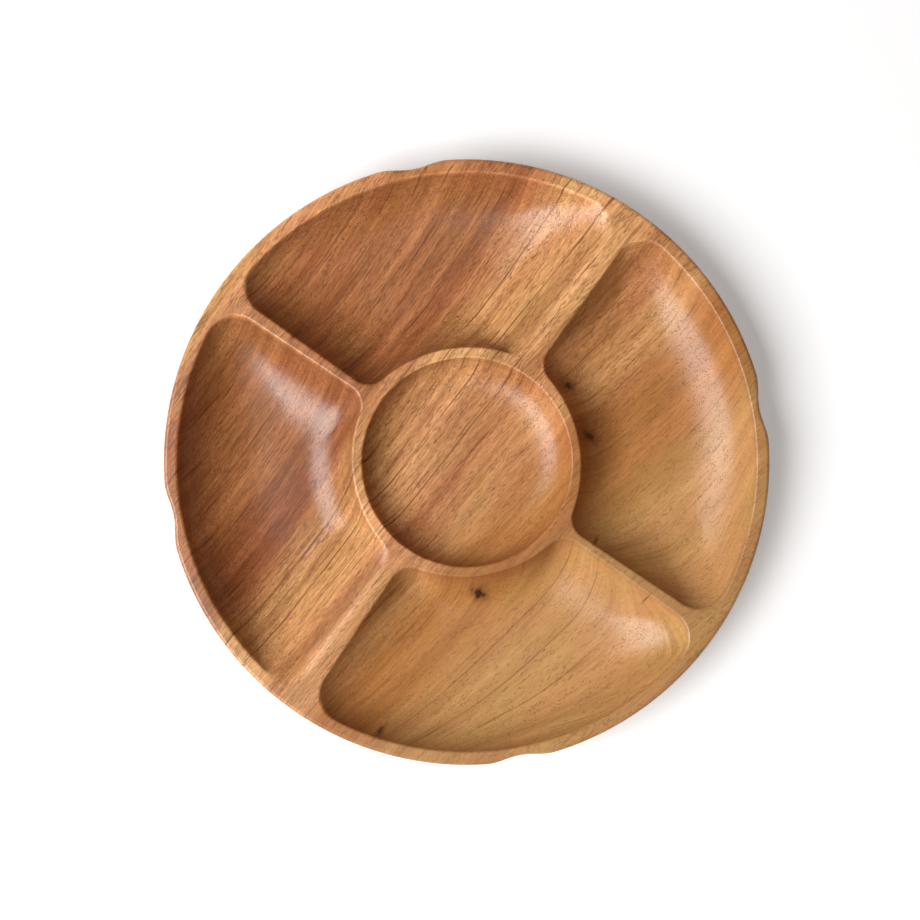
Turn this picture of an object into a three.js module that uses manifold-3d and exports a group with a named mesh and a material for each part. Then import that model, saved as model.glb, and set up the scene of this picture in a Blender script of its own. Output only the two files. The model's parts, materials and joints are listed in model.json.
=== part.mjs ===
// A round carved wooden tray: four compartments around a dip well.
// The blank is glued up from boards whose grain runs along Y, then turned and carved as one.
// Millimetres, +Z up, origin at the middle of the flat foot.

import * as THREE from 'three';
import { mergeVertices } from 'three/addons/utils/BufferGeometryUtils.js';
import Module from 'manifold-3d';

// Turned blank
const TRAY_DIAMETER = 330;
const TRAY_HEIGHT = 32;
const FOOT_DIAMETER = 250;
const RIM_BAND_HEIGHT = 8;
const RIM_EDGE_RADIUS = 2;
const FLANK_FULLNESS = 0.62;
const FLANK_LIFT = 1.5;

// Finger notches in the outer edge, one at the middle of each compartment
const NOTCH_WIDTH = 39;
const NOTCH_DEPTH = 2.8;

// Compartments, anticlockwise from +X: each has a divider wall at its first side and at its last side,
// carved either with a crisp top edge or as a soft ramp
const COMPARTMENTS = [
  { first: 'crisp', last: 'crisp' },
  { first: 'soft', last: 'crisp' },
  { first: 'crisp', last: 'soft' },
  { first: 'crisp', last: 'crisp' },
];
const COMPARTMENT_DEPTH = 22;
const RIM_LAND = 7.2;
const DIVIDER_RIM_LAND = 6.8;
const DIVIDER_RING_LAND = 3.8;
const RING_LAND = 5.2;
const RING_EDGE_RADIUS = 72.5;
const OUTER_CORNER_RADIUS = 16;
const INNER_CORNER_RADIUS = 12;

// Carved walls: how far each one leans before it turns, and how far it runs to the floor
const RIM_WALL_LEAN = 10;
const RIM_WALL_RUN = 46;
const DIVIDER_WALL_LEAN = 10;
const DIVIDER_WALL_RUN = 42;
const SOFT_WALL_RUN = 44;
const RING_WALL_LEAN = 6;
const RING_WALL_RUN = 28;

// Dip well
const WELL_DIAMETER = 114;
const WELL_DEPTH = 15;
const WELL_WALL_LEAN = 3;
const WELL_WALL_RUN = 24;

// Softened edges where a carved wall meets the top
const ARRIS_HEIGHT = 0.9;

// Boards of the blank, with the colour of the wood from one side of the tray to the other
const BOARDS = [
  { name: 'left_edge_board', colour: 0x9c6b41 },
  { name: 'left_middle_board', colour: 0xa56f45 },
  { name: 'centre_board', colour: 0xb07a4b },
  { name: 'right_middle_board', colour: 0xb98450 },
  { name: 'right_edge_board', colour: 0xc29259 },
];
const OIL_ROUGHNESS = 0.45;

// Fineness of the curves
const TURN_STEPS = 160;
const WELL_STEPS = 72;
const FLANK_STEPS = 5;
const EDGE_STEPS = 3;
const WALL_STEPS = 8;
const RIM_ARC_STEPS = 16;
const RING_ARC_STEPS = 10;
const CORNER_STEPS = 5;

const TRAY_RADIUS = TRAY_DIAMETER / 2;
const FOOT_RADIUS = FOOT_DIAMETER / 2;
const WELL_RADIUS = WELL_DIAMETER / 2;
const RIM_INNER_RADIUS = TRAY_RADIUS - RIM_LAND;
const RING_OUTER_RADIUS = WELL_RADIUS + RING_LAND;
const COMPARTMENT_BAND = RIM_INNER_RADIUS - RING_OUTER_RADIUS;
const HALF_SECTOR = Math.PI / COMPARTMENTS.length;

// A divider widens from the ring to the rim, so its edges stand a little off its middle line
const DIVIDER_TAPER = Math.asin((DIVIDER_RIM_LAND - DIVIDER_RING_LAND) / 2 / COMPARTMENT_BAND);
const DIVIDER_BEARING = HALF_SECTOR - DIVIDER_TAPER;

// Cutters and slabs reach this far past the wood they cut
const OVERCUT = TRAY_HEIGHT / 4;

// A corner or a wall's run never takes more than its share of the compartment's width
const LARGEST_CORNER_SHARE = 0.4;
const LARGEST_RIM_RUN_SHARE = 0.5;
const LARGEST_RING_RUN_SHARE = 0.3;

const wasm = await Module();
wasm.setup();

// A closed geometry as a solid: shared vertices merged, collapsed triangles dropped.
function solidFrom(geometry) {
  geometry.deleteAttribute('normal');
  geometry.deleteAttribute('uv');
  const merged = mergeVertices(geometry);
  const index = merged.getIndex().array;
  const triVerts = [];
  for (let i = 0; i < index.length; i += 3) {
    const [a, b, c] = [index[i], index[i + 1], index[i + 2]];
    if (a !== b && b !== c && c !== a) {
      triVerts.push(a, b, c);
    }
  }
  return new wasm.Manifold(new wasm.Mesh({
    numProp: 3,
    vertProperties: new Float32Array(merged.getAttribute('position').array),
    triVerts: new Uint32Array(triVerts),
  }));
}

function geometryFrom(solid) {
  const mesh = solid.getMesh();
  const geometry = new THREE.BufferGeometry();
  geometry.setAttribute('position', new THREE.BufferAttribute(mesh.vertProperties, 3));
  geometry.setIndex(new THREE.BufferAttribute(mesh.triVerts, 1));
  geometry.computeVertexNormals();
  return geometry;
}

// A profile of (radius, height) points turned about Z.
function turned(profile, steps) {
  const geometry = new THREE.LatheGeometry(profile, steps);
  geometry.rotateX(Math.PI / 2);
  return geometry;
}

// A quarter round of the given radius, as (sideways, down) shares from its top to its side.
function quarterRound(steps) {
  const shares = [];
  for (let i = 0; i <= steps; i += 1) {
    const angle = (i / steps) * (Math.PI / 2);
    shares.push({ across: Math.sin(angle), down: 1 - Math.cos(angle) });
  }
  return shares;
}

// How deep the finger notches bite at an angle round the tray: a smooth dip with soft lips.
function notchBite(angle) {
  const sector = 2 * HALF_SECTOR;
  const fromNotch = ((angle % sector) + sector) % sector - HALF_SECTOR;
  const share = Math.abs(fromNotch * TRAY_RADIUS) / (NOTCH_WIDTH / 2);
  return share < 1 ? NOTCH_DEPTH * (1 + Math.cos(Math.PI * share)) / 2 : 0;
}

// The turned blank: flat foot, full flank, upright rim band, rounded rim edge, flat top.
function blankSolid() {
  const bandFoot = TRAY_HEIGHT - RIM_BAND_HEIGHT;
  const flank = new THREE.QuadraticBezierCurve(
    new THREE.Vector2(FOOT_RADIUS, 0),
    new THREE.Vector2(FOOT_RADIUS + (TRAY_RADIUS - FOOT_RADIUS) * FLANK_FULLNESS, FLANK_LIFT),
    new THREE.Vector2(TRAY_RADIUS, bandFoot),
  );
  const rimEdge = quarterRound(EDGE_STEPS).reverse().map(({ across, down }) => new THREE.Vector2(
    TRAY_RADIUS - RIM_EDGE_RADIUS * (1 - across),
    TRAY_HEIGHT - RIM_EDGE_RADIUS * down,
  ));
  const profile = [
    new THREE.Vector2(0, 0),
    ...flank.getPoints(FLANK_STEPS),
    ...rimEdge,
    new THREE.Vector2(0, TRAY_HEIGHT),
  ];
  const geometry = turned(profile, TURN_STEPS);

  // The notches are full depth on the rim and die out down the flank
  const position = geometry.getAttribute('position');
  for (let i = 0; i < position.count; i += 1) {
    const [x, y, z] = [position.getX(i), position.getY(i), position.getZ(i)];
    const radius = Math.hypot(x, y);
    const reach = Math.max(0, (radius - FOOT_RADIUS) / (TRAY_RADIUS - FOOT_RADIUS));
    const bite = notchBite(Math.atan2(y, x)) * Math.min(1, reach);
    const share = radius > 0 ? (radius - bite) / radius : 1;
    position.setXYZ(i, x * share, y * share, z);
  }
  return solidFrom(geometry);
}

// A carved wall from its top edge to the floor, as rows of (inset, drop) with the arris first.
// The arris rolls from the flat top into the slope of the wall, and the wall leaves it steeply
// and turns into the floor in one smooth curve.
function wallRows(depth, lean, run) {
  const slope = Math.atan2(depth, lean);
  const radius = ARRIS_HEIGHT / (1 - Math.cos(slope));
  const setback = radius * Math.tan(slope / 2);
  const rows = quarterRound(EDGE_STEPS).map(({ down }) => {
    const drop = ARRIS_HEIGHT * down;
    return { inset: Math.sqrt(drop * (2 * radius - drop)) - setback, drop };
  });
  const start = rows[EDGE_STEPS];
  for (let i = 1; i <= WALL_STEPS; i += 1) {
    const t = i / WALL_STEPS;
    rows.push({
      inset: (1 - t) ** 2 * start.inset + 2 * t * (1 - t) * lean + t * t * run,
      drop: start.drop + (depth - start.drop) * t * (2 - t),
    });
  }
  return rows;
}

// A soft ramp with the drops of another wall: it rolls off the top and into the floor with no edge.
function rampRows(rows, depth, run) {
  return rows.map(({ drop }) => ({
    inset: run * (0.5 - Math.sin(Math.asin(THREE.MathUtils.clamp(1 - 2 * (drop / depth), -1, 1)) / 3)),
    drop,
  }));
}

function wellCutter() {
  const rows = wallRows(WELL_DEPTH, WELL_WALL_LEAN, WELL_WALL_RUN);
  const mouth = WELL_RADIUS - rows[0].inset;
  const wall = rows.reverse().map(({ inset, drop }) => new THREE.Vector2(
    WELL_RADIUS - inset,
    TRAY_HEIGHT - drop,
  ));
  const profile = [
    new THREE.Vector2(0, TRAY_HEIGHT - WELL_DEPTH),
    ...wall,
    new THREE.Vector2(mouth, TRAY_HEIGHT + OVERCUT),
    new THREE.Vector2(0, TRAY_HEIGHT + OVERCUT),
  ];
  return solidFrom(turned(profile, WELL_STEPS));
}

function arcPoints(centre, radius, from, to, steps) {
  const points = [];
  for (let i = 0; i <= steps; i += 1) {
    const angle = from + (to - from) * (i / steps);
    points.push(new THREE.Vector2(
      centre.x + radius * Math.cos(angle),
      centre.y + radius * Math.sin(angle),
    ));
  }
  return points;
}

// Half of the outline of a compartment whose middle line is +X, with each wall moved in by its own inset:
// the rim arc, the rounded corners, the straight divider edge and the ring arc, anticlockwise.
function outlineHalf(rimInset, dividerInset, ringInset) {
  const along = new THREE.Vector2(Math.cos(DIVIDER_BEARING), Math.sin(DIVIDER_BEARING));
  const inward = new THREE.Vector2(along.y, -along.x);
  const rimRadius = RIM_INNER_RADIUS - rimInset;
  const ringRadius = RING_EDGE_RADIUS + ringInset;
  const ringCentre = new THREE.Vector2(RING_OUTER_RADIUS - RING_EDGE_RADIUS, 0);
  const dividerOffset = DIVIDER_RING_LAND / 2 - RING_OUTER_RADIUS * Math.sin(DIVIDER_TAPER) + dividerInset;

  const band = rimRadius - (RING_OUTER_RADIUS + ringInset);
  const outset = Math.max(0, -dividerInset);
  const outerCorner = Math.min(OUTER_CORNER_RADIUS, band * LARGEST_CORNER_SHARE) + outset;
  const innerCorner = Math.min(INNER_CORNER_RADIUS, band * LARGEST_CORNER_SHARE) + outset;

  // Each corner's centre lies on the divider edge's parallel, a corner radius inside it
  const outerReach = Math.sqrt((rimRadius - outerCorner) ** 2 - (dividerOffset + outerCorner) ** 2);
  const outerCentre = inward.clone().multiplyScalar(dividerOffset + outerCorner)
    .addScaledVector(along, outerReach);
  const innerFoot = inward.clone().multiplyScalar(dividerOffset + innerCorner).sub(ringCentre);
  const footAlong = innerFoot.dot(along);
  const footAcross = innerFoot.dot(inward);
  const innerReach = Math.sqrt((ringRadius + innerCorner) ** 2 - footAcross ** 2) - footAlong;
  const innerFromRing = innerFoot.clone().addScaledVector(along, innerReach);
  const innerCentre = innerFromRing.clone().add(ringCentre);

  const rimTurn = outerCentre.angle();
  const ringTurn = innerFromRing.angle();
  const dividerTurn = DIVIDER_BEARING + Math.PI / 2;
  return [
    ...arcPoints(new THREE.Vector2(), rimRadius, 0, rimTurn, RIM_ARC_STEPS / 2),
    ...arcPoints(outerCentre, outerCorner, rimTurn, dividerTurn, CORNER_STEPS).slice(1),
    ...arcPoints(innerCentre, innerCorner, dividerTurn, ringTurn + Math.PI, CORNER_STEPS),
    ...arcPoints(ringCentre, ringRadius, ringTurn, 0, RING_ARC_STEPS / 2).slice(1),
  ];
}

// The whole outline: the half at the last side, then the mirrored half at the first side.
function compartmentOutline(rimInset, firstInset, lastInset, ringInset) {
  const last = outlineHalf(rimInset, lastInset, ringInset);
  const first = outlineHalf(rimInset, firstInset, ringInset).slice(1, -1).reverse();
  return [...last, ...first.map((point) => new THREE.Vector2(point.x, -point.y))];
}

// A closed body through rows of matching outlines, lowest row last, with flat ends.
function lofted(rows) {
  const count = rows[0].points.length;
  const positions = rows.flatMap(({ points, z }) => points.flatMap((point) => [point.x, point.y, z]));
  const index = [];
  for (let row = 0; row + 1 < rows.length; row += 1) {
    for (let i = 0; i < count; i += 1) {
      const next = (i + 1) % count;
      const [a, b] = [row * count + i, row * count + next];
      index.push(a, a + count, b, b, a + count, b + count);
    }
  }
  const lastRow = (rows.length - 1) * count;
  for (const [a, b, c] of THREE.ShapeUtils.triangulateShape(rows[0].points, [])) {
    index.push(a, b, c);
  }
  for (const [a, b, c] of THREE.ShapeUtils.triangulateShape(rows[rows.length - 1].points, [])) {
    index.push(lastRow + a, lastRow + c, lastRow + b);
  }
  const geometry = new THREE.BufferGeometry();
  geometry.setAttribute('position', new THREE.Float32BufferAttribute(positions, 3));
  geometry.setIndex(index);
  return geometry;
}

function compartmentCutter({ first, last }, number) {
  const rimRun = Math.min(RIM_WALL_RUN, COMPARTMENT_BAND * LARGEST_RIM_RUN_SHARE);
  const ringRun = Math.min(RING_WALL_RUN, COMPARTMENT_BAND * LARGEST_RING_RUN_SHARE);
  const rimWall = wallRows(COMPARTMENT_DEPTH, RIM_WALL_LEAN, rimRun);
  const ringWall = wallRows(COMPARTMENT_DEPTH, RING_WALL_LEAN, ringRun);
  const dividerWalls = {
    crisp: wallRows(COMPARTMENT_DEPTH, DIVIDER_WALL_LEAN, DIVIDER_WALL_RUN),
    soft: rampRows(rimWall, COMPARTMENT_DEPTH, SOFT_WALL_RUN),
  };
  const firstWall = dividerWalls[first];
  const lastWall = dividerWalls[last];
  const rows = rimWall.map(({ inset, drop }, i) => ({
    points: compartmentOutline(inset, firstWall[i].inset, lastWall[i].inset, ringWall[i].inset),
    z: TRAY_HEIGHT - drop,
  }));
  const mouth = { points: rows[0].points, z: TRAY_HEIGHT + OVERCUT };
  const geometry = lofted([mouth, ...rows]);
  geometry.rotateZ(HALF_SECTOR * (2 * number + 1));
  return solidFrom(geometry);
}

function carvedTray() {
  let tray = blankSolid().subtract(wellCutter());
  COMPARTMENTS.forEach((compartment, number) => {
    tray = tray.subtract(compartmentCutter(compartment, number));
  });
  return tray;
}

// The slab of the glued-up blank that one board fills: equal boards, side by side across X.
function boardSlab(number) {
  const width = TRAY_DIAMETER / BOARDS.length;
  const left = number === 0 ? -TRAY_RADIUS - OVERCUT : number * width - TRAY_RADIUS;
  const right = number === BOARDS.length - 1 ? TRAY_RADIUS + OVERCUT : (number + 1) * width - TRAY_RADIUS;
  const geometry = new THREE.BoxGeometry(
    right - left,
    TRAY_DIAMETER + 2 * OVERCUT,
    TRAY_HEIGHT + 2 * OVERCUT,
  );
  geometry.translate((left + right) / 2, 0, TRAY_HEIGHT / 2);
  return solidFrom(geometry);
}

function boardMesh(tray, board, number) {
  const material = new THREE.MeshStandardMaterial({
    color: board.colour,
    roughness: OIL_ROUGHNESS,
    metalness: 0,
  });
  const mesh = new THREE.Mesh(geometryFrom(tray.intersect(boardSlab(number))), material);
  mesh.name = board.name;
  return mesh;
}

const group = new THREE.Group();
const tray = carvedTray();
BOARDS.forEach((board, number) => group.add(boardMesh(tray, board, number)));

export default group;
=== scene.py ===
"""Looks of a round carved wooden tray with four compartments and a dip well, built around its CAD frame."""

import json
import math

import bmesh
import bpy
from bpy.props import FloatProperty, FloatVectorProperty, IntProperty, PointerProperty
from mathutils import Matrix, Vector
from mathutils.geometry import tessellate_polygon

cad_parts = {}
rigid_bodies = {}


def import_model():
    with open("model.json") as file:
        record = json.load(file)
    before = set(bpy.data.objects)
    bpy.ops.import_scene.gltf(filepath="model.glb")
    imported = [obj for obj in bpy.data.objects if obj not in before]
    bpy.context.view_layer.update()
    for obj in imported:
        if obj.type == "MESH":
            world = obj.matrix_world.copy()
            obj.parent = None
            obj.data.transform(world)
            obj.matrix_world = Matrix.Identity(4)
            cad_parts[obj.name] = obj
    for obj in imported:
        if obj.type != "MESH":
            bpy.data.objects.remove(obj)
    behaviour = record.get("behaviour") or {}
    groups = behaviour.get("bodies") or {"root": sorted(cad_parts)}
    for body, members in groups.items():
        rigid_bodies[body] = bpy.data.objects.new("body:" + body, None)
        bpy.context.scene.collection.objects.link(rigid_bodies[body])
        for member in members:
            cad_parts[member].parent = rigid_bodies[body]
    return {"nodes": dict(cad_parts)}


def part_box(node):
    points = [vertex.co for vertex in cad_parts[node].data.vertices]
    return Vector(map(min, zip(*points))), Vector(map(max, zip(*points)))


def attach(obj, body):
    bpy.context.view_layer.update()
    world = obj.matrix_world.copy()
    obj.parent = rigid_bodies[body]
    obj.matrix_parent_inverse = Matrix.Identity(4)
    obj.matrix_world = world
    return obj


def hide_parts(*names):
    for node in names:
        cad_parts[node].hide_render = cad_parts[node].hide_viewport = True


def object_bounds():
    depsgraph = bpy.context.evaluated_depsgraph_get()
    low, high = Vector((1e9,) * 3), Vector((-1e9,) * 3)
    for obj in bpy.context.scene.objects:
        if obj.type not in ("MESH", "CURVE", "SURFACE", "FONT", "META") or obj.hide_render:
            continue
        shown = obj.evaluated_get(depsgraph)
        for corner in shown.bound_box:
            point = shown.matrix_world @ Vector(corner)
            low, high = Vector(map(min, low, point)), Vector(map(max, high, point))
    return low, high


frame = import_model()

bl_info = {
    "name": "Carved Chip and Dip Tray",
    "version": (1, 0, 0),
    "blender": (4, 5, 0),
    "location": "View3D > Sidebar > Tray",
    "description": "Carves the boards of a round wooden tray, oils them and sets a plain studio round them",
    "category": "Object",
}

BODY = "root"
FINISH_SLOT = "oiled_wood"

CAD_LOW, CAD_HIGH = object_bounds()
BOARDS = sorted(frame["nodes"], key=lambda node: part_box(node)[0].x)

# Fineness of the carved surface: steps along each stretch of an outline or a wall
TURN_STEPS = 112
EDGE_STEPS = 8
FLANK_STEPS = 18
ARRIS_STEPS = 6
WALL_STEPS = 26
RIM_ARC_STEPS = 60
RING_ARC_STEPS = 36
CORNER_STEPS = 14
DIVIDER_STEPS = 18

# Points this close are one point where sectors meet, and where the tray is sawn
JOIN_DISTANCE = 0.00001
SAW_DISTANCE = JOIN_DISTANCE / 10

# A corner never takes more than this share of the compartment's width
LARGEST_CORNER_SHARE = 0.4

# Divider walls carved as a soft ramp: (compartment, anticlockwise from +X; its first or last side)
SOFT_SIDES = {(1, "first"), (2, "last")}


def length(name, description, default):
    """A size in metres that a user can change."""
    return FloatProperty(
        name=name, description=description, default=default, min=0.0, precision=4, unit="LENGTH"
    )


def colour(name, description, default):
    """A linear colour that a user can change."""
    return FloatVectorProperty(
        name=name, description=description, default=default, size=3, min=0.0, max=1.0, subtype="COLOR"
    )


def share(name, description, default):
    """A plain number from 0 to 1 that a user can change."""
    return FloatProperty(
        name=name, description=description, default=default, min=0.0, max=1.0, subtype="FACTOR"
    )


def direction(name, description, degrees):
    """An angle that a user can change."""
    return FloatProperty(
        name=name, description=description, default=math.radians(degrees), subtype="ANGLE"
    )


def shift(name, description, default):
    """A move to either side, in metres, that a user can change."""
    return FloatProperty(
        name=name, description=description, default=default, precision=5, unit="LENGTH"
    )


class TrayShape(bpy.types.PropertyGroup):
    """Sizes of the turned blank and of what is carved into it."""

    diameter: length("Diameter", "Across the rim", CAD_HIGH.x - CAD_LOW.x)
    height: length("Height", "From the foot to the top of the rim", CAD_HIGH.z - CAD_LOW.z)
    foot_diameter: length("Foot diameter", "Flat circle that the tray stands on", 0.250)
    rim_band: length("Rim band", "Height of the upright band under the rim", 0.008)
    rim_edge: length("Rim edge radius", "Rounding of the outer top edge", 0.002)
    flank_fullness: share("Flank fullness", "How far out the flank bulges", 0.62)
    flank_lift: length("Flank lift", "How soon the flank leaves the table", 0.0015)
    notch_width: length("Notch width", "Finger notch, along the rim", 0.039)
    notch_depth: length("Notch depth", "How deep a finger notch bites into the rim", 0.0028)
    compartments: IntProperty(
        name="Compartments", description="Compartments round the well", default=4, min=2
    )
    compartment_depth: length("Compartment depth", "From the top down to the floor", 0.022)
    rim_land: length("Rim land", "Flat top of the rim", 0.0072)
    divider_land: length("Divider land", "Flat top of a divider at the ring", 0.0038)
    divider_rim_land: length("Divider rim land", "Flat top of a divider at the rim", 0.0068)
    ring_land: length("Ring land", "Flat top of the ring round the well", 0.0052)
    ring_edge: length("Ring edge radius", "Curve of a compartment's inner edge", 0.0725)
    outer_corner: length("Outer corner radius", "Corner between a divider and the rim", 0.016)
    inner_corner: length("Inner corner radius", "Corner between a divider and the ring", 0.012)
    rim_lean: length("Rim wall lean", "How far the rim wall leans before it turns", 0.010)
    rim_run: length("Rim wall run", "From the rim edge in to the floor", 0.046)
    divider_lean: length("Divider wall lean", "How far a divider wall leans before it turns", 0.010)
    divider_run: length("Divider wall run", "From a divider's edge out to the floor", 0.042)
    soft_run: length("Soft ramp run", "From a divider's top out to the floor where it has no edge", 0.044)
    ring_lean: length("Ring wall lean", "How far the ring's outer wall leans before it turns", 0.006)
    ring_run: length("Ring wall run", "From the ring's edge out to the floor", 0.028)
    well_diameter: length("Well diameter", "Mouth of the dip well", 0.114)
    well_depth: length("Well depth", "From the top down to the well's floor", 0.015)
    well_lean: length("Well wall lean", "How far the well's wall leans before it turns", 0.003)
    well_run: length("Well wall run", "From the well's edge in to its floor", 0.024)
    arris: length("Softened edge", "How far down the softened edge of a carved wall reaches", 0.0009)


class TrayWood(bpy.types.PropertyGroup):
    """Colours and finish of the oiled wood."""

    pale: colour("Pale wood", "Pale golden wood closest to the middle of the log", (0.645, 0.347, 0.128))
    amber: colour("Amber wood", "Golden brown wood further out", (0.55, 0.236, 0.072))
    tan: colour("Tan wood", "Light tan wood", (0.71, 0.350, 0.136))
    rose: colour("Rose wood", "Pinkish tan wood", (0.60, 0.256, 0.098))
    red: colour("Red wood", "Red brown wood", (0.46, 0.172, 0.059))
    maroon: colour("Maroon wood", "Dull maroon band", (0.40, 0.138, 0.050))
    edge: colour("Outermost wood", "Golden olive wood at one edge of the tray", (0.57, 0.275, 0.078))
    line: colour("Growth line", "Dark line at the end of a season's growth", (0.130, 0.036, 0.009))
    pore: colour("Pore", "Dark open pore", (0.135, 0.040, 0.011))
    knot: colour("Knot", "Small dark knot", (0.034, 0.009, 0.005))
    roughness: share("Roughness", "Gloss of the oil: less is shinier", 0.30)


class TrayStudio(bpy.types.PropertyGroup):
    """Camera, floor and light."""

    camera_height: length("Camera height", "Camera above the rim", 1.20)
    frame_width: length("Frame width", "Width of the picture at the rim", 0.5003)
    camera_turn: direction("Camera turn", "Turn of the picture against the grain", 34.6)
    off_right: shift("Off to the right", "Camera from the tray's middle", -0.00360)
    off_up: shift("Off upwards", "Camera from the tray's middle", 0.00115)
    floor: colour("Floor", "Pale studio floor", (0.90, 0.90, 0.91))
    key_bearing: direction("Key bearing", "Direction that the key light stands in, from +X", 238.0)
    key_elevation: direction("Key elevation", "Height of the key light over the table", 52.0)
    key_distance: length("Key distance", "From the tray to the key light", 2.6)
    key_size: length("Key size", "Width of the key light's soft box", 1.9)
    key_power: FloatProperty(name="Key power", description="Key light in watts", default=84.0, min=0.0)
    fill: share("Fill", "Brightness of the surrounding room", 0.050)
    fill_tint: colour("Fill tint", "Warm colour of the light that the room sends back", (1.0, 0.70, 0.48))


# Shape of the tray

def wall_rows(shape, depth, lean, run):
    """Rows of (inset, drop) down a carved wall: the softened edge first, then one curve into the floor."""
    turn = math.pi / 2 - math.atan2(lean, depth)
    radius = shape.arris / (1 - math.cos(turn))
    setback = radius * math.tan(turn / 2)
    rows = []
    for step in range(ARRIS_STEPS + 1):
        drop = shape.arris * (1 - math.cos(step / ARRIS_STEPS * math.pi / 2))
        rows.append((math.sqrt(drop * (2 * radius - drop)) - setback, drop))
    first_inset, first_drop = rows[-1]
    for step in range(1, WALL_STEPS + 1):
        t = step / WALL_STEPS
        inset = (1 - t) ** 2 * first_inset + 2 * t * (1 - t) * lean + t * t * run
        rows.append((inset, first_drop + (depth - first_drop) * t * (2 - t)))
    return rows


def ramp_rows(rows, depth, run):
    """A soft ramp with the drops of another wall: it rolls off the top and into the floor with no edge."""
    ramp = []
    for _, drop in rows:
        level = max(-1.0, min(1.0, 1 - 2 * drop / depth))
        ramp.append((run * (0.5 - math.sin(math.asin(level) / 3)), drop))
    return ramp


def arc(centre, radius, start, end, steps):
    """Points along an arc, both ends included."""
    angles = [start + (end - start) * step / steps for step in range(steps + 1)]
    return [centre + radius * Vector((math.cos(angle), math.sin(angle))) for angle in angles]


def between(start, end, steps):
    """Points that divide a straight stretch, without its ends."""
    return [start.lerp(end, step / steps) for step in range(1, steps)]


def half_sector(shape):
    """Half of the angle that one compartment takes up."""
    return math.pi / shape.compartments


def outline_half(shape, rim_inset, divider_inset, ring_inset):
    """Last half of the outline of a compartment about +X, with each wall moved in by its own inset."""
    rim_inner = shape.diameter / 2 - shape.rim_land
    ring_outer = shape.well_diameter / 2 + shape.ring_land
    taper = math.asin((shape.divider_rim_land - shape.divider_land) / 2 / (rim_inner - ring_outer))
    bearing = half_sector(shape) - taper
    along = Vector((math.cos(bearing), math.sin(bearing)))
    inward = Vector((along.y, -along.x))
    rim_radius = rim_inner - rim_inset
    ring_radius = shape.ring_edge + ring_inset
    ring_centre = Vector((ring_outer - shape.ring_edge, 0.0))
    offset = shape.divider_land / 2 - ring_outer * math.sin(taper) + divider_inset
    outset = max(0.0, -divider_inset)
    largest_corner = LARGEST_CORNER_SHARE * (rim_radius - ring_outer - ring_inset)
    outer_corner = min(shape.outer_corner, largest_corner) + outset
    inner_corner = min(shape.inner_corner, largest_corner) + outset

    outer_reach = math.sqrt((rim_radius - outer_corner) ** 2 - (offset + outer_corner) ** 2)
    outer_centre = inward * (offset + outer_corner) + along * outer_reach
    inner_foot = inward * (offset + inner_corner) - ring_centre
    foot_along = inner_foot.dot(along)
    inner_square = (ring_radius + inner_corner) ** 2 - inner_foot.length_squared + foot_along ** 2
    inner_from_ring = inner_foot + along * (math.sqrt(inner_square) - foot_along)
    inner_centre = inner_from_ring + ring_centre

    rim_turn = math.atan2(outer_centre.y, outer_centre.x)
    ring_turn = math.atan2(inner_from_ring.y, inner_from_ring.x)
    divider_turn = bearing + math.pi / 2
    outer_arc = arc(outer_centre, outer_corner, rim_turn, divider_turn, CORNER_STEPS)
    inner_arc = arc(inner_centre, inner_corner, divider_turn, ring_turn + math.pi, CORNER_STEPS)
    points = arc(Vector((0.0, 0.0)), rim_radius, 0.0, rim_turn, RIM_ARC_STEPS // 2)
    points += outer_arc[1:]
    points += between(outer_arc[-1], inner_arc[0], DIVIDER_STEPS)
    points += inner_arc
    points += arc(ring_centre, ring_radius, ring_turn, 0.0, RING_ARC_STEPS // 2)[1:]
    return points


def compartment_outline(shape, rim_inset, first_inset, last_inset, ring_inset):
    """The whole outline: the half at the last side, then the mirrored half at the first side."""
    last = outline_half(shape, rim_inset, last_inset, ring_inset)
    first = outline_half(shape, rim_inset, first_inset, ring_inset)
    return last + [Vector((point.x, -point.y)) for point in reversed(first[1:-1])]


def notch_bite(shape, angle):
    """How deep the finger notch bites at an angle from the compartment's middle line."""
    part = abs(angle) * shape.diameter / shape.notch_width
    return shape.notch_depth * (1 + math.cos(math.pi * part)) / 2 if part < 1 else 0.0


def side_profile(shape):
    """(Radius, height) points from the top of the rim's rounded edge down the flank to the foot."""
    radius = shape.diameter / 2
    foot = shape.foot_diameter / 2
    points = []
    for step in range(EDGE_STEPS + 1):
        angle = step / EDGE_STEPS * math.pi / 2
        across = shape.rim_edge * (1 - math.sin(angle))
        points.append((radius - across, shape.height - shape.rim_edge * (1 - math.cos(angle))))
    bulge = foot + (radius - foot) * shape.flank_fullness
    for step in range(FLANK_STEPS + 1):
        t = step / FLANK_STEPS
        out = (1 - t) ** 2 * radius + 2 * t * (1 - t) * bulge + t * t * foot
        up = (1 - t) ** 2 * (shape.height - shape.rim_band) + 2 * t * (1 - t) * shape.flank_lift
        points.append((out, up))
    return points


def side_row(shape, radius, height):
    """One row of points round a sector of the outside, drawn in at the finger notch."""
    half = half_sector(shape)
    foot = shape.foot_diameter / 2
    reach = (radius - foot) / (shape.diameter / 2 - foot)
    points = []
    for step in range(TURN_STEPS + 1):
        angle = half * (2 * step / TURN_STEPS - 1)
        drawn = radius - reach * notch_bite(shape, angle)
        points.append(Vector((drawn * math.cos(angle), drawn * math.sin(angle), height)))
    return points


def add_row(surface, points):
    """New vertices at the points."""
    return [surface.verts.new(point) for point in points]


def add_level(surface, points, height):
    """New vertices over flat points, all at one height."""
    return add_row(surface, [Vector((point.x, point.y, height)) for point in points])


def add_strips(surface, rows, closed):
    """Smooth faces between neighbouring rows of vertices."""
    for upper, lower in zip(rows, rows[1:]):
        count = len(upper)
        for i in range(count if closed else count - 1):
            following = (i + 1) % count
            surface.faces.new((upper[i], upper[following], lower[following], lower[i])).smooth = True


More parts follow.
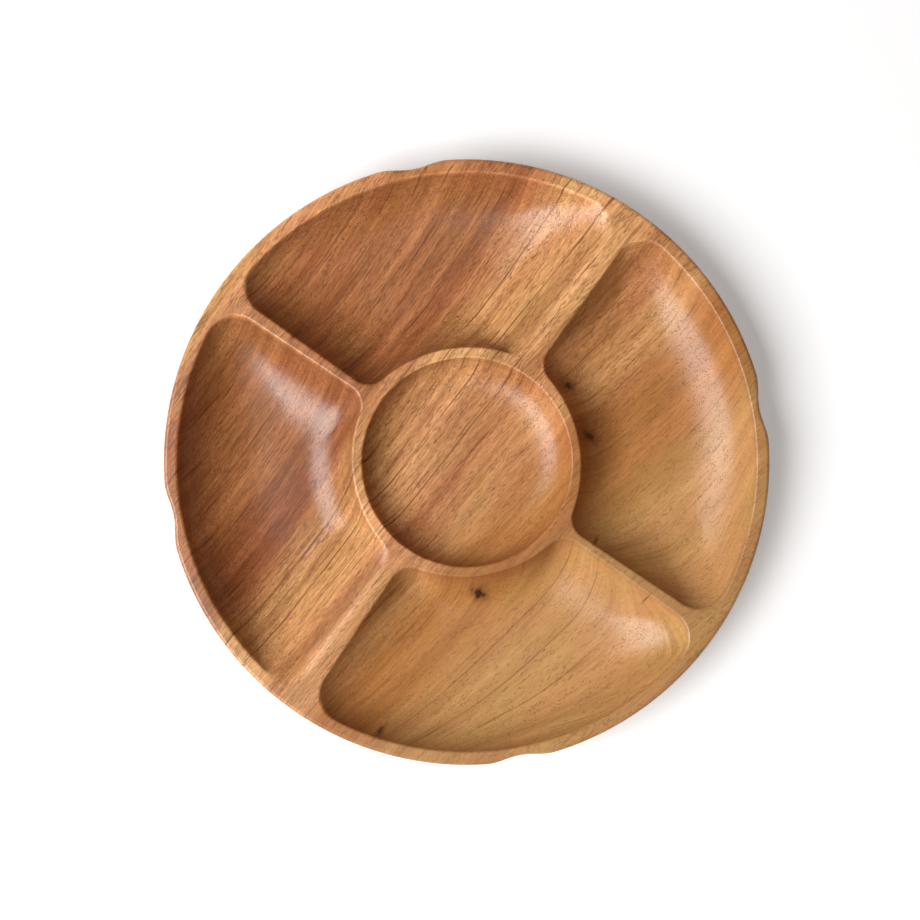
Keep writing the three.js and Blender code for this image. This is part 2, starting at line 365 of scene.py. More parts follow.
def add_flat(surface, outlines):
    """Flat faces that fill the first outline around the others."""
    corners = [vertex for outline in outlines for vertex in outline]
    for triangle in tessellate_polygon([[vertex.co for vertex in outline] for outline in outlines]):
        surface.faces.new([corners[i] for i in triangle])


def sector_mesh(shape, number):
    """One sector of the tray round a single compartment, open along both of its straight sides."""
    surface = bmesh.new()
    side = [add_row(surface, side_row(shape, radius, height)) for radius, height in side_profile(shape)]
    add_strips(surface, side, closed=False)
    add_flat(surface, [side[-1] + add_row(surface, [Vector((0.0, 0.0, 0.0))])])

    rim = wall_rows(shape, shape.compartment_depth, shape.rim_lean, shape.rim_run)
    ring = wall_rows(shape, shape.compartment_depth, shape.ring_lean, shape.ring_run)
    crisp = wall_rows(shape, shape.compartment_depth, shape.divider_lean, shape.divider_run)
    soft = ramp_rows(crisp, shape.compartment_depth, shape.soft_run)
    first = soft if (number, "first") in SOFT_SIDES else crisp
    last = soft if (number, "last") in SOFT_SIDES else crisp
    hollow = []
    for (rim_inset, drop), (first_inset, _), (last_inset, _), (ring_inset, _) in zip(rim, first, last, ring):
        outline = compartment_outline(shape, rim_inset, first_inset, last_inset, ring_inset)
        hollow.append(add_level(surface, outline, shape.height - drop))
    add_strips(surface, hollow, closed=True)
    add_flat(surface, [hollow[-1]])

    half = half_sector(shape)
    well = []
    for inset, drop in wall_rows(shape, shape.well_depth, shape.well_lean, shape.well_run):
        points = arc(Vector((0.0, 0.0)), shape.well_diameter / 2 - inset, -half, half, TURN_STEPS // 2)
        well.append(add_level(surface, points, shape.height - drop))
    add_strips(surface, well, closed=False)
    well_middle = Vector((0.0, 0.0, shape.height - shape.well_depth))
    add_flat(surface, [well[-1] + add_row(surface, [well_middle])])

    add_flat(surface, [side[0] + list(reversed(well[0])), hollow[0]])
    mesh = bpy.data.meshes.new("tray_sector")
    surface.to_mesh(mesh)
    surface.free()
    return mesh


def around_tree():
    """Geometry Nodes that set the sectors round the middle, in order, and close the seams between them."""
    tree = bpy.data.node_groups.new("sectors_around", "GeometryNodeTree")
    sockets = tree.interface
    sockets.new_socket("Blank", in_out="INPUT", socket_type="NodeSocketGeometry")
    sockets.new_socket("Sectors", in_out="INPUT", socket_type="NodeSocketCollection")
    sockets.new_socket("Count", in_out="INPUT", socket_type="NodeSocketInt")
    sockets.new_socket("Join distance", in_out="INPUT", socket_type="NodeSocketFloat")
    sockets.new_socket("Wood", in_out="INPUT", socket_type="NodeSocketMaterial")
    sockets.new_socket("Tray", in_out="OUTPUT", socket_type="NodeSocketGeometry")
    make = NodeMaker(tree)
    given = make.add("NodeGroupInput").outputs
    spots = make.add("GeometryNodePoints", {"Count": given["Count"]})
    turn = make.maths("DIVIDE", 2 * math.pi, given["Count"])
    index = make.add("GeometryNodeInputIndex").outputs["Index"]
    angle = make.maths("MULTIPLY", turn, make.maths("ADD", index, 0.5))
    rotation = make.add("ShaderNodeCombineXYZ", {"Z": angle})
    sectors = make.add("GeometryNodeCollectionInfo", {
        "Collection": given["Sectors"],
        "Separate Children": True,
        "Reset Children": True,
    })
    around = make.add("GeometryNodeInstanceOnPoints", {
        "Points": spots.outputs[0],
        "Instance": sectors.outputs["Instances"],
        "Pick Instance": True,
        "Instance Index": index,
        "Rotation": rotation.outputs["Vector"],
    })
    real = make.add("GeometryNodeRealizeInstances", {"Geometry": around.outputs["Instances"]})
    closed = make.add("GeometryNodeMergeByDistance", {
        "Geometry": real.outputs["Geometry"],
        "Distance": given["Join distance"],
    })
    finished = make.add("GeometryNodeSetMaterial", {
        "Geometry": closed.outputs["Geometry"],
        "Material": given["Wood"],
    })
    make.add("NodeGroupOutput", {"Tray": finished.outputs["Geometry"]})
    return tree


def tray_mesh(shape, wood):
    """The whole carved tray as one closed mesh."""
    sectors = bpy.data.collections.new("tray_sectors")
    for number in range(shape.compartments):
        sectors.objects.link(bpy.data.objects.new("tray_sector_%02d" % number, sector_mesh(shape, number)))
    blank = bpy.data.objects.new("tray_blank", bpy.data.meshes.new("tray_blank"))
    bpy.context.scene.collection.objects.link(blank)
    tree = around_tree()
    modifier = blank.modifiers.new("around", "NODES")
    modifier.node_group = tree
    values = {"Sectors": sectors, "Count": shape.compartments, "Join distance": JOIN_DISTANCE, "Wood": wood}
    for name, value in values.items():
        modifier[tree.interface.items_tree[name].identifier] = value
    graph = bpy.context.evaluated_depsgraph_get()
    mesh = bpy.data.meshes.new_from_object(blank.evaluated_get(graph), depsgraph=graph)
    for item in [blank, *sectors.objects]:
        bpy.data.objects.remove(item)
    bpy.data.collections.remove(sectors)
    return mesh


def sawn_tray(shape, wood, joints):
    """The tray cut along the boards' joints, with its shading kept on every corner of every face."""
    mesh = tray_mesh(shape, wood)
    tray = bmesh.new()
    tray.from_mesh(mesh)
    bmesh.ops.recalc_face_normals(tray, faces=tray.faces)
    for joint in joints:
        parts = tray.verts[:] + tray.edges[:] + tray.faces[:]
        bmesh.ops.bisect_plane(
            tray, geom=parts, dist=SAW_DISTANCE, plane_co=(joint, 0, 0), plane_no=(1, 0, 0)
        )
    tray.to_mesh(mesh)
    shading = iter([corner.vector.copy() for corner in mesh.corner_normals])
    layer = tray.loops.layers.float_vector.new("shading")
    for face in tray.faces:
        for corner in face.loops:
            corner[layer] = next(shading)
    bpy.data.meshes.remove(mesh)
    return tray


def board_mesh(tray, name, low, high, wood):
    """One board of the sawn tray, closed with flat faces along its joints."""
    board = tray.copy()
    others = [face for face in board.faces if not low < face.calc_center_median().x < high]
    bmesh.ops.delete(board, geom=others, context="FACES")
    cut_edges = [edge for edge in board.edges if edge.is_boundary]
    caps = bmesh.ops.edgeloop_fill(board, edges=cut_edges)["faces"]
    middle = (low + high) / 2
    layer = board.loops.layers.float_vector["shading"]
    for cap in caps:
        cap.smooth = False
        cap.normal_update()
        if cap.normal.x * (cap.calc_center_median().x - middle) < 0:
            cap.normal_flip()
        for corner in cap.loops:
            corner[layer] = cap.normal
    mesh = bpy.data.meshes.new(name)
    board.to_mesh(mesh)
    board.free()
    mesh.normals_split_custom_set([corner.vector.copy() for corner in mesh.attributes["shading"].data])
    mesh.attributes.remove(mesh.attributes["shading"])
    mesh.materials.append(wood)
    return mesh


# Nodes

class NodeMaker:
    """Adds nodes to one tree, with values set on their sockets or sockets linked to them."""

    def __init__(self, tree):
        self.tree = tree

    def feed(self, socket, value):
        """Links a socket to the input, or sets a plain value on it."""
        if isinstance(value, bpy.types.NodeSocket):
            self.tree.links.new(value, socket)
        else:
            socket.default_value = value

    def add(self, kind, inputs=None, **settings):
        """A node with its settings and its inputs, which are named or numbered."""
        node = self.tree.nodes.new(kind)
        for name, value in settings.items():
            setattr(node, name, value)
        for key, value in (inputs or {}).items():
            self.feed(node.inputs[key], value)
        return node

    def maths(self, operation, *values):
        """A sum on one, two or three numbers."""
        node = self.add("ShaderNodeMath", dict(enumerate(values)), operation=operation)
        return node.outputs[0]

    def stretch(self, vector, factors):
        """A vector scaled by its own factor along each axis."""
        node = self.add("ShaderNodeVectorMath", {0: vector, 1: factors}, operation="MULTIPLY")
        return node.outputs["Vector"]

    def product(self, first, *others):
        """Several numbers multiplied together."""
        for other in others:
            first = self.maths("MULTIPLY", first, other)
        return first

    def distance(self, across, along):
        """Distance from zero to a point with these two coordinates."""
        squares = [self.maths("MULTIPLY", side, side) for side in (across, along)]
        return self.maths("SQRT", self.maths("ADD", *squares))

    def noise(self, vector, scale, detail, roughness=0.5, stretch=None):
        """Smooth noise from 0 to 1, with its vector scaled along each axis where factors are given."""
        place = self.stretch(vector, stretch) if stretch else vector
        inputs = {"Vector": place, "Scale": scale, "Detail": detail, "Roughness": roughness}
        return self.add("ShaderNodeTexNoise", inputs).outputs[0]

    def fade(self, value, start, end, low=0.0, high=1.0):
        """A soft step from low to high as the value goes from start to end."""
        inputs = {"Value": value, "From Min": start, "From Max": end, "To Min": low, "To Max": high}
        return self.add("ShaderNodeMapRange", inputs, interpolation_type="SMOOTHSTEP").outputs[0]

    def spread(self, value, start, end):
        """0 to 1 in even steps as the value goes from start to end."""
        return self.add("ShaderNodeMapRange", {"Value": value, "From Min": start, "From Max": end}).outputs[0]

    def blend(self, factor, first, second, mode="MIX"):
        """Two colours mixed by a factor."""
        node = self.add("ShaderNodeMix", data_type="RGBA", blend_type=mode)
        self.feed(node.inputs[0], factor)
        self.feed(node.inputs[6], first)
        self.feed(node.inputs[7], second)
        return node.outputs[2]

    def tint(self, first, second):
        """Two colours multiplied."""
        return self.blend(1.0, first, second, mode="MULTIPLY")


def empty_tree(owner):
    """The maker for the node tree of a material or a world, cleared of the nodes it starts with."""
    owner.use_nodes = True
    owner.node_tree.nodes.clear()
    return NodeMaker(owner.node_tree)


def empty_material(name):
    """A material with no nodes yet, and the maker for its tree."""
    material = bpy.data.materials.new(name)
    return material, empty_tree(material)


def shader_group(name, inputs, outputs):
    """An empty shader node group with named sockets, its maker and its input sockets."""
    tree = bpy.data.node_groups.new(name, "ShaderNodeTree")
    for label, kind in inputs:
        tree.interface.new_socket(label, in_out="INPUT", socket_type=kind)
    for label, kind in outputs:
        tree.interface.new_socket(label, in_out="OUTPUT", socket_type=kind)
    make = NodeMaker(tree)
    return tree, make, make.add("NodeGroupInput").outputs


# Oiled wood

# Middle of the log in the tray's frame: the growth rings are circles round this line along Y
PITH_X = 0.143
PITH_Z = 0.055

# How far the rings wander along the log, and how far they shiver from fibre to fibre
RING_WANDER = 0.006
RING_SHIVER = 0.0012

# Noises of the wood: cells in a metre, number and strength of finer layers, and factors on X, Y and Z
WANDER_NOISE = {"scale": 7.0, "detail": 1.0}
SHIVER_NOISE = {"scale": 90.0, "detail": 1.0, "stretch": (1.0, 0.25, 1.0)}
BAND_NOISE = {"scale": 130.0, "detail": 2.0}
FINE_NOISE = {"scale": 900.0, "detail": 3.0, "roughness": 0.6}
STRAND_NOISE = {"scale": 620.0, "detail": 1.0}
FIBRE_NOISE = {"scale": 1000.0, "detail": 3.0, "roughness": 0.6, "stretch": (1.0, 0.16, 1.0)}
PATCH_NOISE = {"scale": 14.0, "detail": 2.0, "stretch": (6.0, 1.0, 6.0)}
HUE_NOISE = {"scale": 42.0, "detail": 2.0, "stretch": (1.0, 0.35, 1.0)}
BROKEN_NOISE = {"scale": 420.0, "detail": 2.0, "stretch": (1.0, 0.16, 1.0)}
RAGGED_NOISE = {"scale": 420.0, "detail": 3.0, "stretch": (1.0, 0.6, 0.3)}

# Bands, fine streaks and strands are read over the age and over this share of Y, which draws them out
STREAK_DRAW = 0.045

# Soft steps over a place, or over an age, the distance from the middle of the log: (start, end, low, high)
LEAN_BY_X = (-0.08, 0.10, 0.02, 0.22)
LIGHT_BY_Y = (-0.13, 0.13, -0.12, 0.12)
OLD_BY_AGE = (0.14, 0.20, 0.0, 1.0)
# Painted light and shade on the flat tops: darker in the golden wood, paler in the red wood, which lies on
# the key light's side
PAINTED_TOP_LIGHT_BY_AGE = (0.07, 0.19, -0.12, 0.25)
PAINTED_OUTER_TOP_LIGHT_BY_AGE = (0.24, 0.28, 0.0, 0.18)
CONTRAST_BY_AGE = (0.08, 0.16, 0.42, 1.0)
PORES_BY_AGE = (0.08, 0.20, 0.75, 1.0)
# Pale edge, partly wear and partly a painted highlight, fainter in the golden wood away from the key light
WEAR_AND_HIGHLIGHT_BY_AGE = (0.09, 0.18, 0.15, 0.6)
POLISH_BY_AGE = (0.185, 0.225, 0.0, 0.5)

# Soft steps over a noise: (start, end, low, high)
BAND_SHADE = (0.25, 0.75, 0.72, 1.20)
FINE_SHADE = (0.25, 0.75, 0.80, 1.17)
FIBRE_SHADE = (0.28, 0.72, 0.85, 1.14)
STRAND_SHADE = (0.62, 0.71, 1.0, 0.62)
LINE_STRENGTH = (0.30, 0.60, 0.45, 1.0)
PORE_REACH = (0.36, 0.62, 0.20, 0.62)
# Patches of the pale edge of wear and painted highlight
WEAR_AND_HIGHLIGHT_PATCHES = (0.35, 0.60, 0.35, 1.0)

# Depths under the top of the rim between which the flat tops with their painted light and shade begin, and
# the pale edge band of wear and painted highlight begins and ends
LAND_BEGINS = (0.0035, 0.0004)
WEAR_AND_HIGHLIGHT_BEGINS = (0.0014, 0.0008)
WEAR_AND_HIGHLIGHT_ENDS = (0.00015, 0.00003)

# Colour zones between the first and the last age: (share of the way, colour)
FIRST_AGE = 0.040
LAST_AGE = 0.300
ZONES = (
    (0.00, "pale"),
    (0.10, "pale"),
    (0.19, "amber"),
    (0.28, "amber"),
    (0.34, "tan"),
    (0.40, "rose"),
    (0.47, "tan"),
    (0.58, "tan"),
    (0.64, "red"),
    (0.67, "maroon"),
    (0.70, "red"),
    (0.94, "red"),
    (1.00, "rose"),
)

# Where the outermost wood begins and is full, along X, and how far that moves with the height
EDGE_BY_X = (-0.121, -0.134)
EDGE_TILT = 0.97

# Darker wood is also redder: its green and blue fall by these powers
GREEN_POWER = 1.25
BLUE_POWER = 1.45

# Colours multiplied in: a slow change over a noise from the first cast to the second, and the pale edge,
# partly wear and partly a painted highlight
HUE_STEP = (0.32, 0.68)
ROSY_CAST = (1.03, 0.965, 1.02, 1.0)
OLIVE_CAST = (0.99, 1.025, 0.985, 1.0)
# Paler, bluer edge: partly wear, partly a painted highlight
WORN_AND_HIGHLIT_TINT = (1.35, 1.4, 1.5, 1.0)

# Growth lines that stand out: (age, width, depth, start and end along the grain)
GROWTH_LINES = (
    (0.0472, 0.0004, 0.50, -0.110, -0.055),
    (0.0585, 0.0004, 0.55, -0.160, 0.005),
    (0.0737, 0.0004, 0.50, -0.135, -0.010),
    (0.0818, 0.0004, 0.45, 0.090, 0.130),
    (0.1404, 0.0005, 0.70, -0.060, -0.020),
    (0.1579, 0.0005, 0.80, -0.050, 0.060),
    (0.1734, 0.0005, 0.90, -0.165, 0.165),
    (0.1898, 0.0007, 1.00, -0.160, -0.030),
    (0.1926, 0.0005, 0.90, 0.060, 0.165),
    (0.2767, 0.0010, 0.55, 0.020, 0.085),
)

# A growth line: where it starts to darken, in widths from its age, by what power, and how long it fades out
LINE_RISE = -1.8
LINE_POWER = 2.0
LINE_FADE = 0.015

# Pores: tubes in a metre, how far they are drawn out, their solid middle, and how dark they are
PORE_SCALE = 2200.0
PORE_STRETCH = (1.0, 0.11, 1.0)
PORE_CORE = 0.3
PORE_DEPTH = 0.72

# Small knots and nicks: (x, y, half width, half length, depth of the dark middle)
KNOTS = (
    (0.0225, 0.0661, 0.0030, 0.0022, 0.90),
    (0.0470, 0.0500, 0.0040, 0.0026, 0.90),
    (0.0465, -0.0555, 0.0040, 0.0034, 0.90),
    (0.0825, 0.0045, 0.0006, 0.0022, 0.50),
    (0.0447, -0.1480, 0.0014, 0.0030, 0.55),
    (0.1230, -0.0060, 0.0004, 0.0028, 0.50),
    (-0.1160, 0.0046, 0.0009, 0.0036, 0.60),
)

# Soft steps of a knot over the distance from its middle, in half widths, and how ragged that distance is
KNOT_BORDER = (0.7, 2.4, 0.45, 0.0)
KNOT_MIDDLE = (0.35, 0.95)
KNOT_RAGGEDNESS = 2.4

# Finish: how far the roughness varies with the streaks and the pores, the relief, the shine and the polish
GLOSS_STEP = (0.2, 0.8)
GLOSS_BELOW = 0.04
GLOSS_ABOVE = 0.05
PORE_ROUGHNESS = 0.12
FIBRE_RELIEF = 0.5
PORE_RELIEF = 0.6
RELIEF_STRENGTH = 0.28
RELIEF_HEIGHT = 0.00025
SHINE = 0.45
POLISH_ROUGHNESS = 0.30


def opaque(shade):
    """A colour with full alpha, as sockets take it."""
    return (*shade, 1.0)


def below_rim(depths):
    """Heights at these depths under the top of the rim."""
    return [CAD_HIGH.z - depth for depth in depths]


def growth_group():
    """Age of the wood: its distance from the middle of the log, wandering a little along the grain."""
    tree, make, given = shader_group(
        "growth_rings", [("Point", "NodeSocketVector")], [("Age", "NodeSocketFloat")]
    )
    split = make.add("ShaderNodeSeparateXYZ", {0: given["Point"]}).outputs
    across = make.maths("SUBTRACT", split["X"], PITH_X)
    down = make.maths("SUBTRACT", split["Z"], PITH_Z)
    slow = make.noise(given["Point"], **WANDER_NOISE)
    quick = make.noise(given["Point"], **SHIVER_NOISE)
    wander = make.maths("MULTIPLY", make.maths("SUBTRACT", slow, 0.5), RING_WANDER)
    shiver = make.maths("MULTIPLY", make.maths("SUBTRACT", quick, 0.5), RING_SHIVER)
    age = make.maths("ADD", make.distance(across, down), make.maths("ADD", wander, shiver))
    make.add("NodeGroupOutput", {"Age": age})
    return tree


def line_group():
    """One growth line: it darkens slowly over the season and ends sharply."""
    tree, make, given = shader_group(
        "growth_line",
        [("Age", "NodeSocketFloat"), ("Place", "NodeSocketFloat"), ("Width", "NodeSocketFloat")],
        [("Mask", "NodeSocketFloat")],
    )
    past = make.maths("SUBTRACT", given["Age"], given["Place"])
    rise = make.maths("MULTIPLY", given["Width"], LINE_RISE)
    build = make.maths("POWER", make.fade(past, rise, 0.0), LINE_POWER)
    end = make.fade(past, 0.0, given["Width"], 1.0, 0.0)
    make.add("NodeGroupOutput", {"Mask": make.maths("MULTIPLY", build, end)})
    return tree


def pore_group():
    """Open pores: thin dark tubes along the grain, cut through wherever the surface crosses them."""
    tree, make, given = shader_group(
        "pores",
        [("Point", "NodeSocketVector"), ("Density", "NodeSocketFloat")],
        [("Mask", "NodeSocketFloat")],
    )
    tubes = make.add("ShaderNodeTexVoronoi", {
        "Vector": make.stretch(given["Point"], PORE_STRETCH),
        "Scale": PORE_SCALE,
    })
    broken = make.noise(given["Point"], **BROKEN_NOISE)
    reach = make.maths("MULTIPLY", given["Density"], make.fade(broken, *PORE_REACH))
    core = make.maths("MULTIPLY", reach, PORE_CORE)
    make.add("NodeGroupOutput", {"Mask": make.fade(tubes.outputs["Distance"], core, reach, 1.0, 0.0)})
    return tree


class Grain:
    """What the layers of the wood share: places in the tray and along the leaning grain, ages and noises."""

    def __init__(self, make):
        self.point = make.add("ShaderNodeTexCoord").outputs["Object"]
        place = make.add("ShaderNodeSeparateXYZ", {0: self.point}).outputs
        self.x, self.y, self.z = place["X"], place["Y"], place["Z"]
        lean = make.maths("MULTIPLY", self.y, make.fade(self.x, *LEAN_BY_X))
        across = make.maths("SUBTRACT", self.x, lean)
        leaning = make.add("ShaderNodeCombineXYZ", {"X": across, "Y": self.y, "Z": self.z})
        self.leaning = leaning.outputs[0]
        rings = make.add("ShaderNodeGroup", {"Point": self.leaning}, node_tree=growth_group())
        self.age = rings.outputs["Age"]
        drawn = make.maths("MULTIPLY", self.y, STREAK_DRAW)
        streaky = make.add("ShaderNodeCombineXYZ", {"X": self.age, "Y": drawn}).outputs[0]
        self.bands = make.noise(streaky, **BAND_NOISE)
        self.fine = make.noise(streaky, **FINE_NOISE)
        self.strands = make.noise(streaky, **STRAND_NOISE)
        self.fibre = make.noise(self.leaning, **FIBRE_NOISE)
        self.patches = make.noise(self.leaning, **PATCH_NOISE)
        inputs = {"Point": self.leaning, "Density": make.fade(self.age, *PORES_BY_AGE)}
        self.pores = make.add("ShaderNodeGroup", inputs, node_tree=pore_group()).outputs["Mask"]


def zoned(make, wood, grain):
    """Colour zones from the middle of the log outwards, with the outermost wood at one edge of the tray."""
    tone = make.add("ShaderNodeValToRGB", {0: make.spread(grain.age, FIRST_AGE, LAST_AGE)})
    stops = tone.color_ramp.elements
    for stop, (place, name) in zip(stops, (ZONES[0], ZONES[-1])):
        stop.position = place
        stop.color = opaque(getattr(wood, name))
    for place, name in ZONES[1:-1]:
        stops.new(place).color = opaque(getattr(wood, name))
    tilted = make.maths("ADD", grain.x, make.maths("MULTIPLY", grain.z, EDGE_TILT))
    return make.blend(make.fade(tilted, *EDGE_BY_X), tone.outputs["Color"], opaque(wood.edge))


def streaked(make, grain, base):
    """Streaks and fibres, fainter in the golden wood, and painted light and shade on the flat tops: darker in
    the golden wood, paler in the red wood on the key light's side.
    """
    streaks = make.product(
        make.fade(grain.bands, *BAND_SHADE),
        make.fade(grain.fine, *FINE_SHADE),
        make.fade(grain.fibre, *FIBRE_SHADE),
        make.fade(grain.strands, *STRAND_SHADE),
    )
    contrast = make.fade(grain.age, *CONTRAST_BY_AGE)
    lengthwise = make.maths("MULTIPLY", make.fade(grain.age, *OLD_BY_AGE), make.fade(grain.y, *LIGHT_BY_Y))
    # Painted light and shade on the flat tops, paler on the key light's side
    painted_top_light = make.fade(grain.age, *PAINTED_TOP_LIGHT_BY_AGE)
    lift = make.maths("ADD", painted_top_light, make.fade(grain.age, *PAINTED_OUTER_TOP_LIGHT_BY_AGE))
    land = make.maths("MULTIPLY", make.fade(grain.z, *below_rim(LAND_BEGINS)), lift)
    light = make.product(
        make.maths("MULTIPLY_ADD", make.maths("SUBTRACT", streaks, 1.0), contrast, 1.0),
        make.maths("ADD", lengthwise, 1.0),
        make.maths("ADD", land, 1.0),
    )
    warm = make.add("ShaderNodeCombineColor", {
        "Red": light,
        "Green": make.maths("POWER", light, GREEN_POWER),
        "Blue": make.maths("POWER", light, BLUE_POWER),
    })
    hue = make.noise(grain.leaning, **HUE_NOISE)
    cast = make.blend(make.fade(hue, *HUE_STEP), ROSY_CAST, OLIVE_CAST)
    return make.tint(make.tint(base, warm.outputs[0]), cast)


def lined(make, wood, grain, base):
    """Dark growth lines that come and go along the grain."""
    strength = make.fade(grain.patches, *LINE_STRENGTH)
    line_tree = line_group()
    for age, width, depth, start, end in GROWTH_LINES:
        inputs = {"Age": grain.age, "Place": age, "Width": width}
        line = make.add("ShaderNodeGroup", inputs, node_tree=line_tree)
        begun = make.fade(grain.y, start - LINE_FADE, start)
        ended = make.fade(grain.y, end, end + LINE_FADE, depth, 0.0)
        mask = make.product(line.outputs["Mask"], begun, ended, strength)
        base = make.blend(mask, base, opaque(wood.line))
    return base


def knotted(make, wood, grain, base):
    """Small ragged knots and nicks with a dark border."""
    ragged = make.noise(grain.point, **RAGGED_NOISE)
    rough = make.maths("MULTIPLY", make.maths("SUBTRACT", ragged, 0.5), KNOT_RAGGEDNESS)
    for x, y, half_width, half_length, depth in KNOTS:
        beside = make.maths("DIVIDE", make.maths("SUBTRACT", grain.x, x), half_width)
        ahead = make.maths("DIVIDE", make.maths("SUBTRACT", grain.y, y), half_length)
        uneven = make.maths("ADD", make.distance(beside, ahead), rough)
        base = make.blend(make.fade(uneven, *KNOT_BORDER), base, opaque(wood.line))
        base = make.blend(make.fade(uneven, *KNOT_MIDDLE, depth, 0.0), base, opaque(wood.knot))
    return base


def worn_and_highlit(make, grain, base):
    """Paler wood in patches along the softened edges: partly wear, partly a painted highlight, strongest in
    the red wood on the key light's side.
    """
    # Painted highlight, with some wear, along the softened edges
    wear_and_highlight = make.product(
        make.fade(grain.z, *below_rim(WEAR_AND_HIGHLIGHT_BEGINS)),
        make.fade(grain.z, *below_rim(WEAR_AND_HIGHLIGHT_ENDS), 1.0, 0.0),
        make.fade(grain.patches, *WEAR_AND_HIGHLIGHT_PATCHES),
        make.fade(grain.age, *WEAR_AND_HIGHLIGHT_BY_AGE),
    )
    return make.blend(wear_and_highlight, base, make.tint(base, WORN_AND_HIGHLIT_TINT))


def wood_material(wood):
    """Oiled hardwood: growth rings, growth lines, streaks, pores and small knots through the whole solid."""
    material, make = empty_material(FINISH_SLOT)
    grain = Grain(make)
    base = zoned(make, wood, grain)
    base = streaked(make, grain, base)
    base = lined(make, wood, grain, base)
    base = make.blend(make.maths("MULTIPLY", grain.pores, PORE_DEPTH), base, opaque(wood.pore))
    base = knotted(make, wood, grain, base)
    base = worn_and_highlit(make, grain, base)

    smoothest, roughest = wood.roughness - GLOSS_BELOW, wood.roughness + GLOSS_ABOVE
    streak_gloss = make.fade(grain.fine, *GLOSS_STEP, smoothest, roughest)
    pore_gloss = make.maths("MULTIPLY", grain.pores, PORE_ROUGHNESS)
    raised = make.maths("MULTIPLY", grain.fibre, FIBRE_RELIEF)
    sunk = make.maths("MULTIPLY", grain.pores, PORE_RELIEF)
    bump = make.add("ShaderNodeBump", {
        "Strength": RELIEF_STRENGTH,
        "Distance": RELIEF_HEIGHT,
        "Height": make.maths("SUBTRACT", raised, sunk),
    })
    surface = make.add("ShaderNodeBsdfPrincipled", {
        "Base Color": base,
        "Roughness": make.maths("ADD", streak_gloss, pore_gloss),
        "Normal": bump.outputs["Normal"],
        "Specular IOR Level": SHINE,
        "Coat Weight": make.fade(grain.age, *POLISH_BY_AGE),
        "Coat Roughness": POLISH_ROUGHNESS,
    })
    make.add("ShaderNodeOutputMaterial", {"Surface": surface.outputs["BSDF"]})
    return material


# Studio

# The floor's half width, and how far it lies under the foot
FLOOR_HALF = 4.0
FLOOR_GAP = 0.0003

# Glow that the camera sees on the floor, over the distance from its middle: (start, end, low, high)
FLOOR_GLOW = (0.35, 1.0, 0.34, 1.0)

# Width of the camera's sensor in millimetres
SENSOR_WIDTH = 36.0

WHITE = (1.0, 1.0, 1.0, 1.0)
MIDDLE = (CAD_LOW + CAD_HIGH) / 2


def seen_directly(make):
    """1 for rays from the camera, or mirrored or refracted to it, and 0 for light that falls on things."""
    path = make.add("ShaderNodeLightPath").outputs
    mirrored = make.maths("MAXIMUM", path["Is Glossy Ray"], path["Is Transmission Ray"])
    return make.maths("MAXIMUM", path["Is Camera Ray"], mirrored)


def floor_material(studio):
    """Pale matt floor that the camera sees as white where no shadow falls."""
    material, make = empty_material("studio_floor")
    matt = make.add("ShaderNodeBsdfDiffuse", {"Color": opaque(studio.floor)})
    spot = make.add("ShaderNodeTexCoord").outputs["Object"]
    away = make.add("ShaderNodeVectorMath", {0: spot}, operation="LENGTH").outputs["Value"]
    glow = make.maths("MULTIPLY", seen_directly(make), make.fade(away, *FLOOR_GLOW))
    lift = make.add("ShaderNodeEmission", {"Color": WHITE, "Strength": glow})
    both = make.add("ShaderNodeAddShader", {0: matt.outputs[0], 1: lift.outputs[0]})
    make.add("ShaderNodeOutputMaterial", {"Surface": both.outputs[0]})
    return material


def white_room(studio):
    """World that fills the shadows evenly and looks white to the camera."""
    world = bpy.data.worlds.new("white_room")
    make = empty_tree(world)
    camera_ray = make.add("ShaderNodeLightPath").outputs["Is Camera Ray"]
    strength = make.fade(camera_ray, 0.0, 1.0, studio.fill, 1.0)
    shade = make.blend(camera_ray, opaque(studio.fill_tint), WHITE)
    sky = make.add("ShaderNodeBackground", {"Color": shade, "Strength": strength})
    make.add("ShaderNodeOutputWorld", {"Surface": sky.outputs[0]})
    return world


def set_camera(scene, studio):
    """Camera straight above the tray, turned against the grain."""
    lens = bpy.data.cameras.new("camera")
    lens.sensor_width = SENSOR_WIDTH
    lens.lens = lens.sensor_width * studio.camera_height / studio.frame_width
    camera = bpy.data.objects.new("camera", lens)
    right = Vector((math.cos(studio.camera_turn), math.sin(studio.camera_turn), 0.0))
    up = Vector((-right.y, right.x, 0.0))
    camera.location = Vector((MIDDLE.x, MIDDLE.y, CAD_HIGH.z + studio.camera_height))
    camera.location += right * studio.off_right + up * studio.off_up
    camera.rotation_euler = (0.0, 0.0, studio.camera_turn)
    scene.collection.objects.link(camera)
    scene.camera = camera


def lay_floor(scene, studio):
    """Wide pale floor just under the foot."""
    mesh = bpy.data.meshes.new("floor")
    low = CAD_LOW.z - FLOOR_GAP
    corners = [(-1, -1), (1, -1), (1, 1), (-1, 1)]
    mesh.from_pydata([(x * FLOOR_HALF, y * FLOOR_HALF, low) for x, y in corners], [], [(0, 1, 2, 3)])
    mesh.materials.append(floor_material(studio))
    floor = bpy.data.objects.new("floor", mesh)
    scene.collection.objects.link(floor)


def hang_key(scene, studio):
    """Square soft box that shines on the tray from one side."""
    box = bpy.data.lights.new("key", "AREA")
    box.shape = "SQUARE"
    box.size = studio.key_size
    box.energy = studio.key_power
    key = bpy.data.objects.new("key", box)
    flat = math.cos(studio.key_elevation)
    towards = Vector((
        flat * math.cos(studio.key_bearing),
        flat * math.sin(studio.key_bearing),
        math.sin(studio.key_elevation),
    ))
    key.location = MIDDLE + towards * studio.key_distance
    key.rotation_euler = towards.to_track_quat("Z", "Y").to_euler()
    scene.collection.objects.link(key)


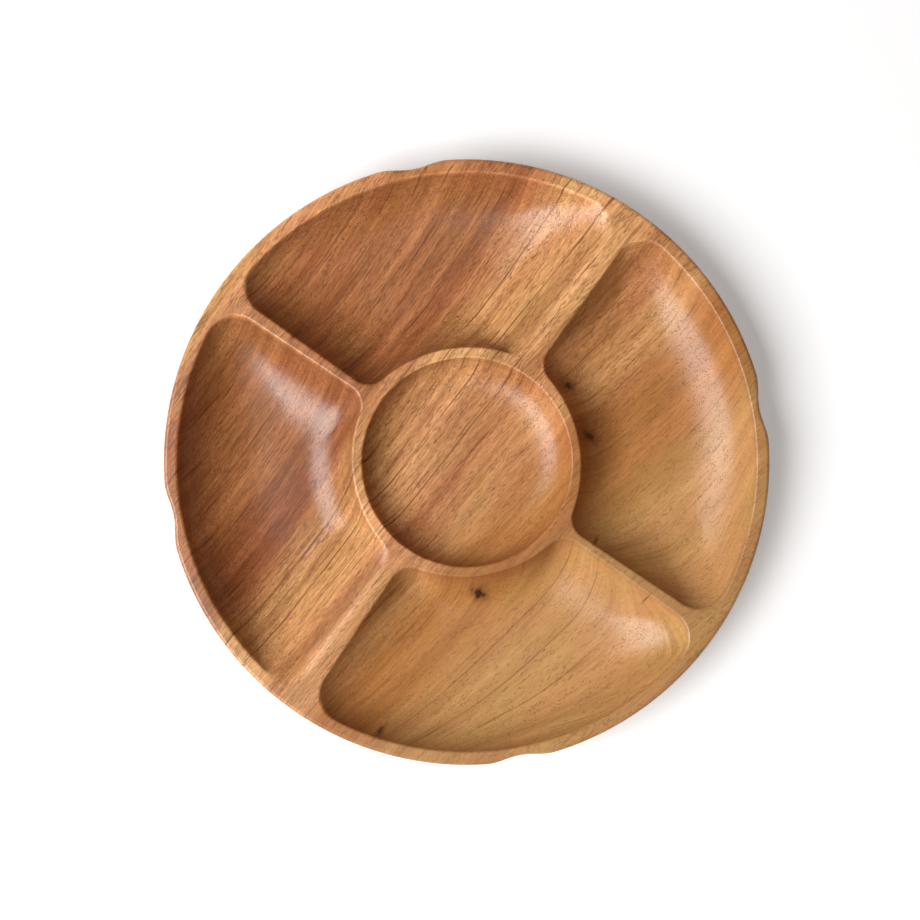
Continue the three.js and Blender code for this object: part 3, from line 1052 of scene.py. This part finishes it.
class TRAY_OT_boards(bpy.types.Operator):
    """Carve the tray, saw it into its boards and oil them"""

    bl_idname = "tray.boards"
    bl_label = "Carve Boards"

    def execute(self, context):
        wood = wood_material(context.scene.tray_wood)
        boxes = [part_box(name) for name in BOARDS]
        joints = [high.x for _, high in boxes[:-1]]
        tray = sawn_tray(context.scene.tray_shape, wood, joints)
        for name, (low, high) in zip(BOARDS, boxes):
            mesh = board_mesh(tray, name + "_carved", low.x, high.x, wood)
            board = bpy.data.objects.new(name + "_carved", mesh)
            context.scene.collection.objects.link(board)
            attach(board, BODY)
            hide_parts(name)
        tray.free()
        return {"FINISHED"}


class TRAY_OT_stage(bpy.types.Operator):
    """Set the camera, the pale floor and the soft light"""

    bl_idname = "tray.stage"
    bl_label = "Set Stage"

    def execute(self, context):
        scene = context.scene
        set_camera(scene, scene.tray_studio)
        lay_floor(scene, scene.tray_studio)
        hang_key(scene, scene.tray_studio)
        scene.world = white_room(scene.tray_studio)
        scene.view_settings.view_transform = "Standard"
        return {"FINISHED"}


class TRAY_PT_panel(bpy.types.Panel):
    """Sidebar panel with the tray's settings and steps"""

    bl_idname = "TRAY_PT_panel"
    bl_label = "Chip and Dip Tray"
    bl_space_type = "VIEW_3D"
    bl_region_type = "UI"
    bl_category = "Tray"

    def draw(self, context):
        for group in (context.scene.tray_shape, context.scene.tray_wood, context.scene.tray_studio):
            column = self.layout.column()
            for name in group.__annotations__:
                column.prop(group, name)
        self.layout.operator(TRAY_OT_stage.bl_idname)
        self.layout.operator(TRAY_OT_boards.bl_idname)


CLASSES = (TrayShape, TrayWood, TrayStudio, TRAY_OT_boards, TRAY_OT_stage, TRAY_PT_panel)


def register():
    for item in CLASSES:
        bpy.utils.register_class(item)
    bpy.types.Scene.tray_shape = PointerProperty(type=TrayShape)
    bpy.types.Scene.tray_wood = PointerProperty(type=TrayWood)
    bpy.types.Scene.tray_studio = PointerProperty(type=TrayStudio)


def unregister():
    del bpy.types.Scene.tray_studio
    del bpy.types.Scene.tray_wood
    del bpy.types.Scene.tray_shape
    for item in reversed(CLASSES):
        bpy.utils.unregister_class(item)


def main():
    register()
    bpy.ops.tray.stage()
    bpy.ops.tray.boards()


if __name__ == "__main__":
    main()
